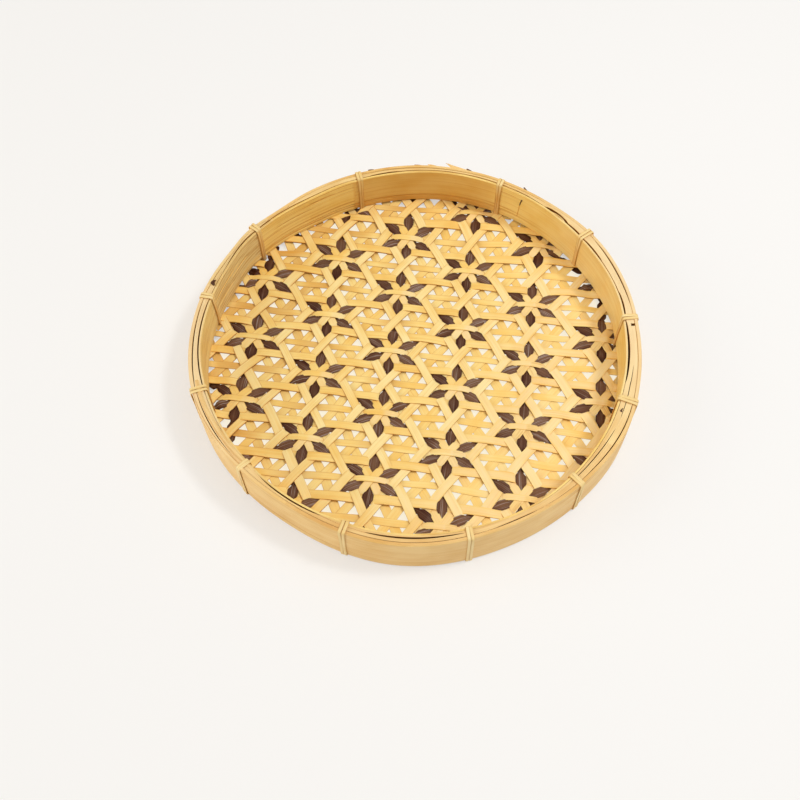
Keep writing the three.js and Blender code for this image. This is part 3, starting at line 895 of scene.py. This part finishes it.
def short_strip(path, width, end_width, thickness, wear_and_painted_light, seed, upright=False):
    """A strip through points (degrees, radius, height), its width upright or lying round the rim."""
    points = [round_plate(degrees, radius * MM, height * MM) for degrees, radius, height in path]
    last = len(points) - 1

    def on_path(share):
        place = min(max(share, 0.0), 1.0) * last
        index = min(int(place), last - 1)
        before, here = points[max(index - 1, 0)], points[index]
        there, after = points[index + 1], points[min(index + 2, last)]
        return cubic(place - index, here, there, (there - before) / 2, (after - here) / 2)

    def place(share, side, face):
        here = on_path(share)
        way = (on_path(share + A_LITTLE) - on_path(share - A_LITTLE)).normalized()
        outward = Vector((here.x, here.y, 0)).normalized()
        across = Vector((0, 0, 1)) if upright else Vector((-outward.y, outward.x, 0))
        across = (across - way * way.dot(across)).normalized()
        wide = (width + (end_width - width) * share) * MM / 2
        point = here + across * side * wide + way.cross(across) * face * thickness * MM / 2
        return point, (share * GRAIN_LENGTH, side * wide, seed), wear_and_painted_light

    return split_strip(SHORT_STEPS * last, SHORT_ROWS, place)


print("steps from point to point of a short strip:", SHORT_STEPS)

# %% Bend the traces and make the hoops
flake = [
    short_strip([(74.6, 129.4, 30.6), (77, 130.6, 31.0), (79.6, 131.8, 31.8)], 2.4, 0.5, 0.4, 0.3, 31),
    short_strip([(76.2, 129.6, 30.6), (78.6, 131.2, 31.2), (80.8, 132.6, 32.0)], 1.8, 0.2, 0.3, 1.1, 32),
    short_strip([(77.6, 129.6, 30.6), (79.0, 130.9, 31.4), (80.2, 132.0, 32.2)], 2.6, 0.7, 0.3, 0.6, 33),
    short_strip([(83.4, 130.0, 30.6), (84.6, 130.7, 31.0), (85.8, 131.0, 31.2)], 1.6, 0.4, 0.25, 0.2, 30),
]
dark_fibres = [
    short_strip([(56.2, 129.2, 30.5), (56.8, 129.9, 30.9), (57.4, 130.4, 31.2)], 1.2, 0.7, 0.3, 2.9, 34),
    short_strip([(73.0, 129.9, 30.5), (73.9, 130.6, 30.9), (74.7, 131.0, 31.2)], 1.3, 0.7, 0.3, 2.9, 35),
    short_strip([(87.2, 130.1, 30.6), (88.4, 130.6, 30.9), (89.6, 130.8, 31.0)], 1.0, 0.4, 0.3, 2.2, 36),
    short_strip([(101.2, 129.6, 30.5), (102.0, 130.0, 30.8), (102.9, 130.1, 31.0)], 1.3, 0.7, 0.3, 2.8, 37),
]
SCAR_AT, SCAR_INSIDE = 56.5, 0.36
deep = inner_face(SCAR_AT) / MM - SCAR_INSIDE
scar = [
    short_strip([(56.8, deep, 21), (56.6, deep, 23.5), (56.3, deep, 26.5)], 0.5, 0.9, 0.3, 3, 38),
    short_strip([(57.2, deep, 10), (57, deep, 15), (56.8, deep, 21)], 0.2, 0.4, 0.22, 1.6, 39),
]
outer_traces = flake + dark_fibres
make_piece("bent_outer_hoop", [outer_shape, *outer_traces], OUTER_FINISH, "hoop_bamboo", "outer_hoop")
make_piece("bent_inner_hoop", [inner_shape, *scar], INNER_FINISH, "hoop_bamboo", "inner_hoop")
print("traces on the hoops:", len(outer_traces), "outside", len(scar), "inside")

# %% [markdown]
# ## What fills the rim
# Between the hoops a thin filler strip runs all round, and a second one beside it on the right, on
# the left and at the front, where the hoops stand further apart. They fit closely, so most joints
# are only a hair line on top of the rim. In some stretches a hoop has sprung away, and a slit is
# left, which shows dark, partly from real shade and partly because the faces down between the
# hoops are painted as shade. At the back right the slit is a hole with a loose sliver in it.

# %% Slits beside the filler
OUTER_SLITS = [(8, 31, 0.55), (168, 195, 0.5), (195, 220, 0.7), (287, 298, 0.4), (314, 337, 0.4)]
MIDDLE_SLITS = [(256, 280, 0.9), (309, 329, 0.5), (332, 349, 0.4)]
INNER_SLITS = [
    (4, 13, 0.6), (24, 33, 0.5), (40, 49, 1.9), (34, 41, 0.6), (48, 60, 0.4), (94, 103, 0.45),
    (107, 139, 0.25), (142, 156, 0.4), (168, 198, 0.6), (226, 245, 0.9), (343, 363, 1.0),
]
print("slits:", len(OUTER_SLITS), "outside", len(MIDDLE_SLITS), "between", len(INNER_SLITS), "inside")

# %% Filler strips
HAIR, LEAST_ROOM, LEAST_STRIP = 0.03 * MM, 0.25 * MM, 0.1 * MM
FILLER_TOP, FILLER_ROWS = RIM_TOP - 0.35 * MM, 4
SLOW_WAVE, SLOW_WAVES = 0.15 * MM, 5
QUICK_WAVE, QUICK_WAVES = 0.1 * MM, 13
FILLER_FROM, FILLER_TURNS = 2, 359.2
SECOND_STRIPS = [(292, 118), (150, 68), (243, 48)]


def filler(start, turns, lies_inside, seed):
    phase = random.Random(seed).uniform(0, ANY_PHASE)
    halves = [(first, first + span, 0.5) for first, span in SECOND_STRIPS]

    def place(share, side, face):
        degrees = start + turns * share
        angle = radians(degrees)
        near = inner_face(degrees) + INNER_HOOP_THICKNESS + HAIR + swell(degrees, INNER_SLITS) * MM
        far = outer_face(degrees) - OUTER_HOOP_THICKNESS - HAIR - swell(degrees, OUTER_SLITS) * MM
        room = max(far - near, LEAST_ROOM)
        middle = room * swell(degrees, halves)
        if lies_inside:
            gap = HAIR + swell(degrees, MIDDLE_SLITS) * MM
            radius = near + (max(middle - gap, LEAST_STRIP) if face > 0 else 0.0)
        else:
            radius = near + (room if face > 0 else middle)
        wave = SLOW_WAVE * sin(SLOW_WAVES * angle + phase) + QUICK_WAVE * sin(QUICK_WAVES * angle)
        depth = ((1 - side) / 2) ** 3
        height = FILLER_TOP + wave - (FILLER_TOP + wave - INNER_BOTTOM) * depth
        # Painted shade: below its top the filler is painted dark.
        tone = GAP_SHADE if depth else top_tone(degrees)
        return round_plate(degrees, radius, height), (angle * RIM_RADIUS, radius, seed), tone

    return split_strip(round(turns / HOOP_STEP), FILLER_ROWS, place)


filler_shapes = [filler(FILLER_FROM, FILLER_TURNS, lies_inside=False, seed=21)]
filler_shapes += [
    filler(start, turns, lies_inside=True, seed=22 + start) for start, turns in SECOND_STRIPS
]
sliver = short_strip(
    [(41.4, 125.2, 28.0), (42.6, 125.5, 28.9), (44.6, 125.6, 29.0), (47, 125.6, 28.0)],
    2.0, 1.8, 0.6, 0.0, 24, upright=True,
)
print("filler strips:", len(filler_shapes))

# %% [markdown]
# At the front left the filler's end is the thick half of a cane. It lies on top between two
# bindings, round side up, and slips inward from the outer hoop to the inner one.

# %% Round-backed end of the filler
CAP_INSIDE = [
    (180, 128.2), (190, 128.2), (199, 127.6), (207, 126.2),
    (214, 125), (221, 124.3), (230, 124.2), (240, 124),
]
CAP_OUTSIDE = [
    (180, 130.3), (190, 130.4), (199, 130.3), (207, 129.2),
    (214, 128), (221, 126.7), (230, 126.2), (240, 126),
]
CAP_FROM, CAP_TO, CAP_STEPS, CAP_ROWS, CAP_SEED = 193, 224, 40, 8, 25
CAP_FOOT, CAP_RISE, CAP_THICKNESS, CAP_TONE = RIM_TOP - 0.4 * MM, 1.7 * MM, 0.9 * MM, -0.2


def cap(share, side, face):
    degrees = CAP_FROM + (CAP_TO - CAP_FROM) * share
    inside, outside = smooth_curve(CAP_INSIDE, degrees) * MM, smooth_curve(CAP_OUTSIDE, degrees) * MM
    radius = inside + (outside - inside) * (side + 1) / 2
    height = CAP_FOOT + CAP_RISE * sqrt(sin(pi * share)) * (1 - side * side)
    height -= CAP_THICKNESS if face < 0 else 0.0
    along = radians(degrees) * RIM_RADIUS
    return round_plate(degrees, radius, height), (along, radius, CAP_SEED), CAP_TONE


filler_shapes += [sliver, split_strip(CAP_STEPS, CAP_ROWS, cap)]
make_piece("rim_filler_strips", filler_shapes, FILLER_FINISH, "filler_bamboo", "rim_filler")
print("round-backed end, degrees:", CAP_FROM, "to", CAP_TO)

# %% [markdown]
# Where a black strip ends at the rim, the maker turned it up between the hoops. Two of those ends
# show on top, at the left and at the right.

# %% Turned-up black ends
black_ends = [
    short_strip(
        [(161, 126.9, 20), (161.4, 127.2, 27), (162.2, 127.6, 30.6), (163, 128.4, 31.0)],
        4.6, 2.8, 0.4, 0.5, 41,
    ),
    short_strip(
        [(336, 123.6, 20), (335.6, 123.9, 27), (334.8, 124.2, 30.3), (334, 124.0, 30.8)],
        2.6, 1.2, 0.4, 0.5, 42,
    ),
]
print("turned-up black ends:", len(black_ends))
make_piece("turned_up_black_ends", black_ends, BLACK_FINISH, "black_bamboo", "black_strips")

# %% [markdown]
# ## Bindings
# Each binding is one thin strip wound twice round the rim: up the inside, over the top, down the
# outside and back under, then once more beside itself. The path is a list of corners round a
# section of the rim. The corners are rounded off, and the strip helper carries the strand along.
# The inside legs are coloured a darker golden brown below their top few mm. Three bindings have
# worked loose, most of all the one at the back left.

# %% Path of a binding
STRAND_WIDTH, STRAND_THICKNESS = 1.75 * MM, 0.55 * MM
STRAND_APART = 1.95 * MM
OFF_FACE, OFF_TOP = STRAND_THICKNESS / 2 + 0.4 * MM, STRAND_THICKNESS / 2 + 0.2 * MM
LOW, TUCKED_UNDER, BEND_RADIUS = 0.35 * MM, 3.0 * MM, 1.5 * MM
LEAN, PINCH, SPLAYED = (-0.25, 0.25), (0.45, 0.7), 3.0 * MM
BINDING_ANGLES = [4, 34, 64, 106, 141, 167, 196, 221, 251, 281, 311, 338]
LOOSE = {141: 1.1 * MM, 34: 0.5 * MM, 196: 0.4 * MM}


def rounded(corners, radius):
    """A path through corners, each replaced by five points of a small curve."""
    path = [corners[0]]
    for before, here, after in zip(corners, corners[1:], corners[2:]):
        back, ahead = before - here, after - here
        cut = min(radius, back.length / 2, ahead.length / 2)
        start, end = here + back.normalized() * cut, here + ahead.normalized() * cut
        for share in (0, 0.25, 0.5, 0.75, 1):
            path.append((1 - share) ** 2 * start + 2 * share * (1 - share) * here + share ** 2 * end)
    return path + [corners[-1]]


def binding_path(degrees, rng):
    """Corners of two turns, as radius, sideways and height."""
    near, far = inner_face(degrees) - OFF_FACE, outer_face(degrees) + OFF_FACE
    loose = LOOSE.get(degrees, 0.0)
    high = RIM_TOP + OFF_TOP
    middle = (INNER_TOP + INNER_BOTTOM) / 2
    corners = []
    for turn in (-1, 1):
        side = turn * STRAND_APART / 2
        lean = [rng.uniform(*LEAN) * MM for _ in range(4)]
        pinch = side * rng.uniform(*PINCH)
        splay = side * (1 + loose / SPLAYED)
        corners += [
            (near + TUCKED_UNDER, side, LOW), (near, pinch, LOW), (near, pinch + lean[0], middle),
            (near, side + lean[1], high), (far + loose, splay + lean[2], high),
            (far + loose / 3, side + lean[3], middle), (far, side, LOW), (far - TUCKED_UNDER, side, LOW),
        ]
    return rounded([Vector(corner) for corner in corners], BEND_RADIUS)


print("points on a binding's path:", len(binding_path(BINDING_ANGLES[0], random.Random(0))))

# %% Wind the bindings
STRAND_ROWS, THIN_FROM, THINNED, PALE_ON_TOP = 4, 0.5, 0.55, 4 * MM


def binding(degrees, seed):
    rng = random.Random(seed)
    path = binding_path(degrees, rng)
    lengths = [0.0, *accumulate((there - here).length for here, there in zip(path, path[1:]))]
    turn = Matrix.Rotation(radians(degrees), 3, "Z")
    inside = inner_face(degrees)

    def place(share, side, face):
        index = round(share * (len(path) - 1))
        here = path[index]
        way = path[min(index + 1, len(path) - 1)] - path[max(index - 1, 0)]
        out = Vector((-way.z, 0, way.x)).normalized()
        rounding = 1.0 - THINNED * max(0.0, abs(side) - THIN_FROM) / (1 - THIN_FROM)
        across = side * STRAND_WIDTH / 2
        local = here + Vector((0, across, 0)) + out * face * rounding * STRAND_THICKNESS / 2
        wear_and_painted_light = abs(side)
        # The inside legs are a darker golden brown, except near the top.
        if here.x < inside:
            wear_and_painted_light += 1 - eased(here.z, RIM_TOP - PALE_ON_TOP, RIM_TOP)
        return turn @ local, (lengths[index], across, seed), wear_and_painted_light

    return split_strip(len(path) - 1, STRAND_ROWS, place)


for order, degrees in enumerate(BINDING_ANGLES, start=1):
    node = f"binding_{order:02d}"
    make_piece("wound_" + node, [binding(degrees, 400 + order)], BINDING_FINISH, "binding_strip", node)
print("bindings wound:", len(BINDING_ANGLES))

# %% [markdown]
# ## Table
# The plate lies on a plain white table. What the camera sees of it is partly its own lit surface,
# which keeps the shadow, and partly plain white, and far off it is all white, so that no horizon
# shows. Real strips are thin enough to let some light through, and these are opaque, so under the
# mat the table is painted as a warm cream light, with little of the mat's shadow left.

# %% Table
TABLE_SIZE, FAR_FROM, FAR_TO = 3, 0.6, 1.6
# Under the mat the camera sees mostly painted warm light, which hides most of the mat's shadow.
SEEN_WHITE, SEEN_UNDER_MAT = 0.55, 0.9
UNDER_MAT, UNDER_RIM = 120 * MM, 126 * MM
TABLE_WHITE, WARM_PAINTED_LIGHT = colour(250, 248, 245), colour(255, 245, 222)
TABLE_ROUGHNESS, TABLE_SHINE = 0.7, 0.2


def seen_rays(tree):
    """1 where the camera, a mirror-like surface or glass looks, 0 where light is gathered."""
    rays = add_node(tree, "LightPath").outputs
    seen = maths(tree, "MAXIMUM", rays["Is Camera Ray"], rays["Is Transmission Ray"])
    return maths(tree, "MAXIMUM", seen, rays["Is Glossy Ray"])


def table_material(name):
    material = bpy.data.materials.new(name)
    tree = blank_tree(material)
    lit = add_node(tree, "BsdfPrincipled", {
        "Base Color": TABLE_WHITE, "Roughness": TABLE_ROUGHNESS, "Specular IOR Level": TABLE_SHINE,
    })
    place = add_node(tree, "TexCoord").outputs["Object"]
    away = add_node(tree, "VectorMath", {0: place}, operation="LENGTH").outputs["Value"]
    under = spread(tree, away, UNDER_MAT, UNDER_RIM, 1.0, 0.0)
    tint = mix(tree, under, TABLE_WHITE, WARM_PAINTED_LIGHT)
    white = add_node(tree, "Emission", {"Color": tint, "Strength": 1.0})
    share = spread(tree, under, 0, 1, SEEN_WHITE, SEEN_UNDER_MAT)
    share = maths(tree, "MAXIMUM", share, spread(tree, away, FAR_FROM, FAR_TO, 0.0, 1.0))
    share = maths(tree, "MULTIPLY", seen_rays(tree), share)
    mixed = add_node(tree, "MixShader", {0: share, 1: lit.outputs[0], 2: white.outputs[0]})
    add_node(tree, "OutputMaterial", {"Surface": mixed.outputs[0]})
    return material


table_shape = bmesh.new()
bmesh.ops.create_grid(table_shape, x_segments=1, y_segments=1, size=TABLE_SIZE)
table_mesh = bpy.data.meshes.new("table")
table_shape.to_mesh(table_mesh)
table_shape.free()
table_mesh.materials.append(table_material("white_table"))
add_object("table", table_mesh)
print("table, m:", 2 * TABLE_SIZE, "square")

# %% [markdown]
# ## Light
# The daylight is soft. A small high window at the right gives the clear shadow to the left, a low
# warm window at the left fills the other side, a soft lamp above lifts the middle, and a warm, even
# sky fills the shadows. Together they light a level white surface to just under white, so that
# colours come out as written. The camera sees the sky as white.

# %% Sky and lamps
SKY, SKY_COLOUR = 0.46, (1.0, 0.98, 0.955, 1.0)
world = bpy.data.worlds.new("soft_daylight")
bpy.context.scene.world = world
sky_tree = blank_tree(world)
strength = spread(sky_tree, seen_rays(sky_tree), 0, 1, SKY, 1.0)
sky = add_node(sky_tree, "Background", {"Color": SKY_COLOUR, "Strength": strength})
add_node(sky_tree, "OutputWorld", {"Surface": sky.outputs[0]})


def window(name, place, size, energy, tint):
    """A round soft lamp that looks at the plate."""
    lamp = bpy.data.lights.new(name, "AREA")
    lamp.shape, lamp.size, lamp.energy, lamp.color = "DISK", size, energy, tint
    hung = add_object(name, lamp)
    hung.location = place
    hung.rotation_mode = "QUATERNION"
    hung.rotation_quaternion = (-hung.location).to_track_quat("-Z", "Y")


window("window_right", place=(1.1, 0.1, 1.85), size=0.35, energy=12.6, tint=(0.96, 0.985, 1.0))
window("window_left", place=(-1.7, -0.2, 0.8), size=1.3, energy=12.5, tint=(1.0, 0.95, 0.87))
window("lamp_above", place=(0.35, 0.0, 0.8), size=0.7, energy=1.7, tint=(1.0, 1.0, 1.0))
print("lamps:", len(bpy.data.lights))

# %% [markdown]
# ## Camera
# The camera stands in front of the plate and looks down on it. Its place, tilt and lens come from
# fitting the rim's two ellipses and the flowers to the view that is wanted.

# %% Camera
CAMERA_PLACE = Vector((-10.9 * MM, -314.8 * MM, 501.9 * MM))
CAMERA_DOWN, CAMERA_ROLL = 60.17, -0.93
LENS, SENSOR = 43.71, 36
camera_data = bpy.data.cameras.new("camera")
camera_data.lens, camera_data.sensor_width = LENS, SENSOR
camera = add_object("camera", camera_data)
tilt = Matrix.Rotation(radians(90 - CAMERA_DOWN), 4, "X")
roll = Matrix.Rotation(radians(CAMERA_ROLL), 4, "Z")
camera.matrix_world = Matrix.Translation(CAMERA_PLACE) @ tilt @ roll
bpy.context.scene.camera = camera
bpy.context.scene.view_settings.view_transform = "Standard"
print("camera looks down, degrees:", CAMERA_DOWN)
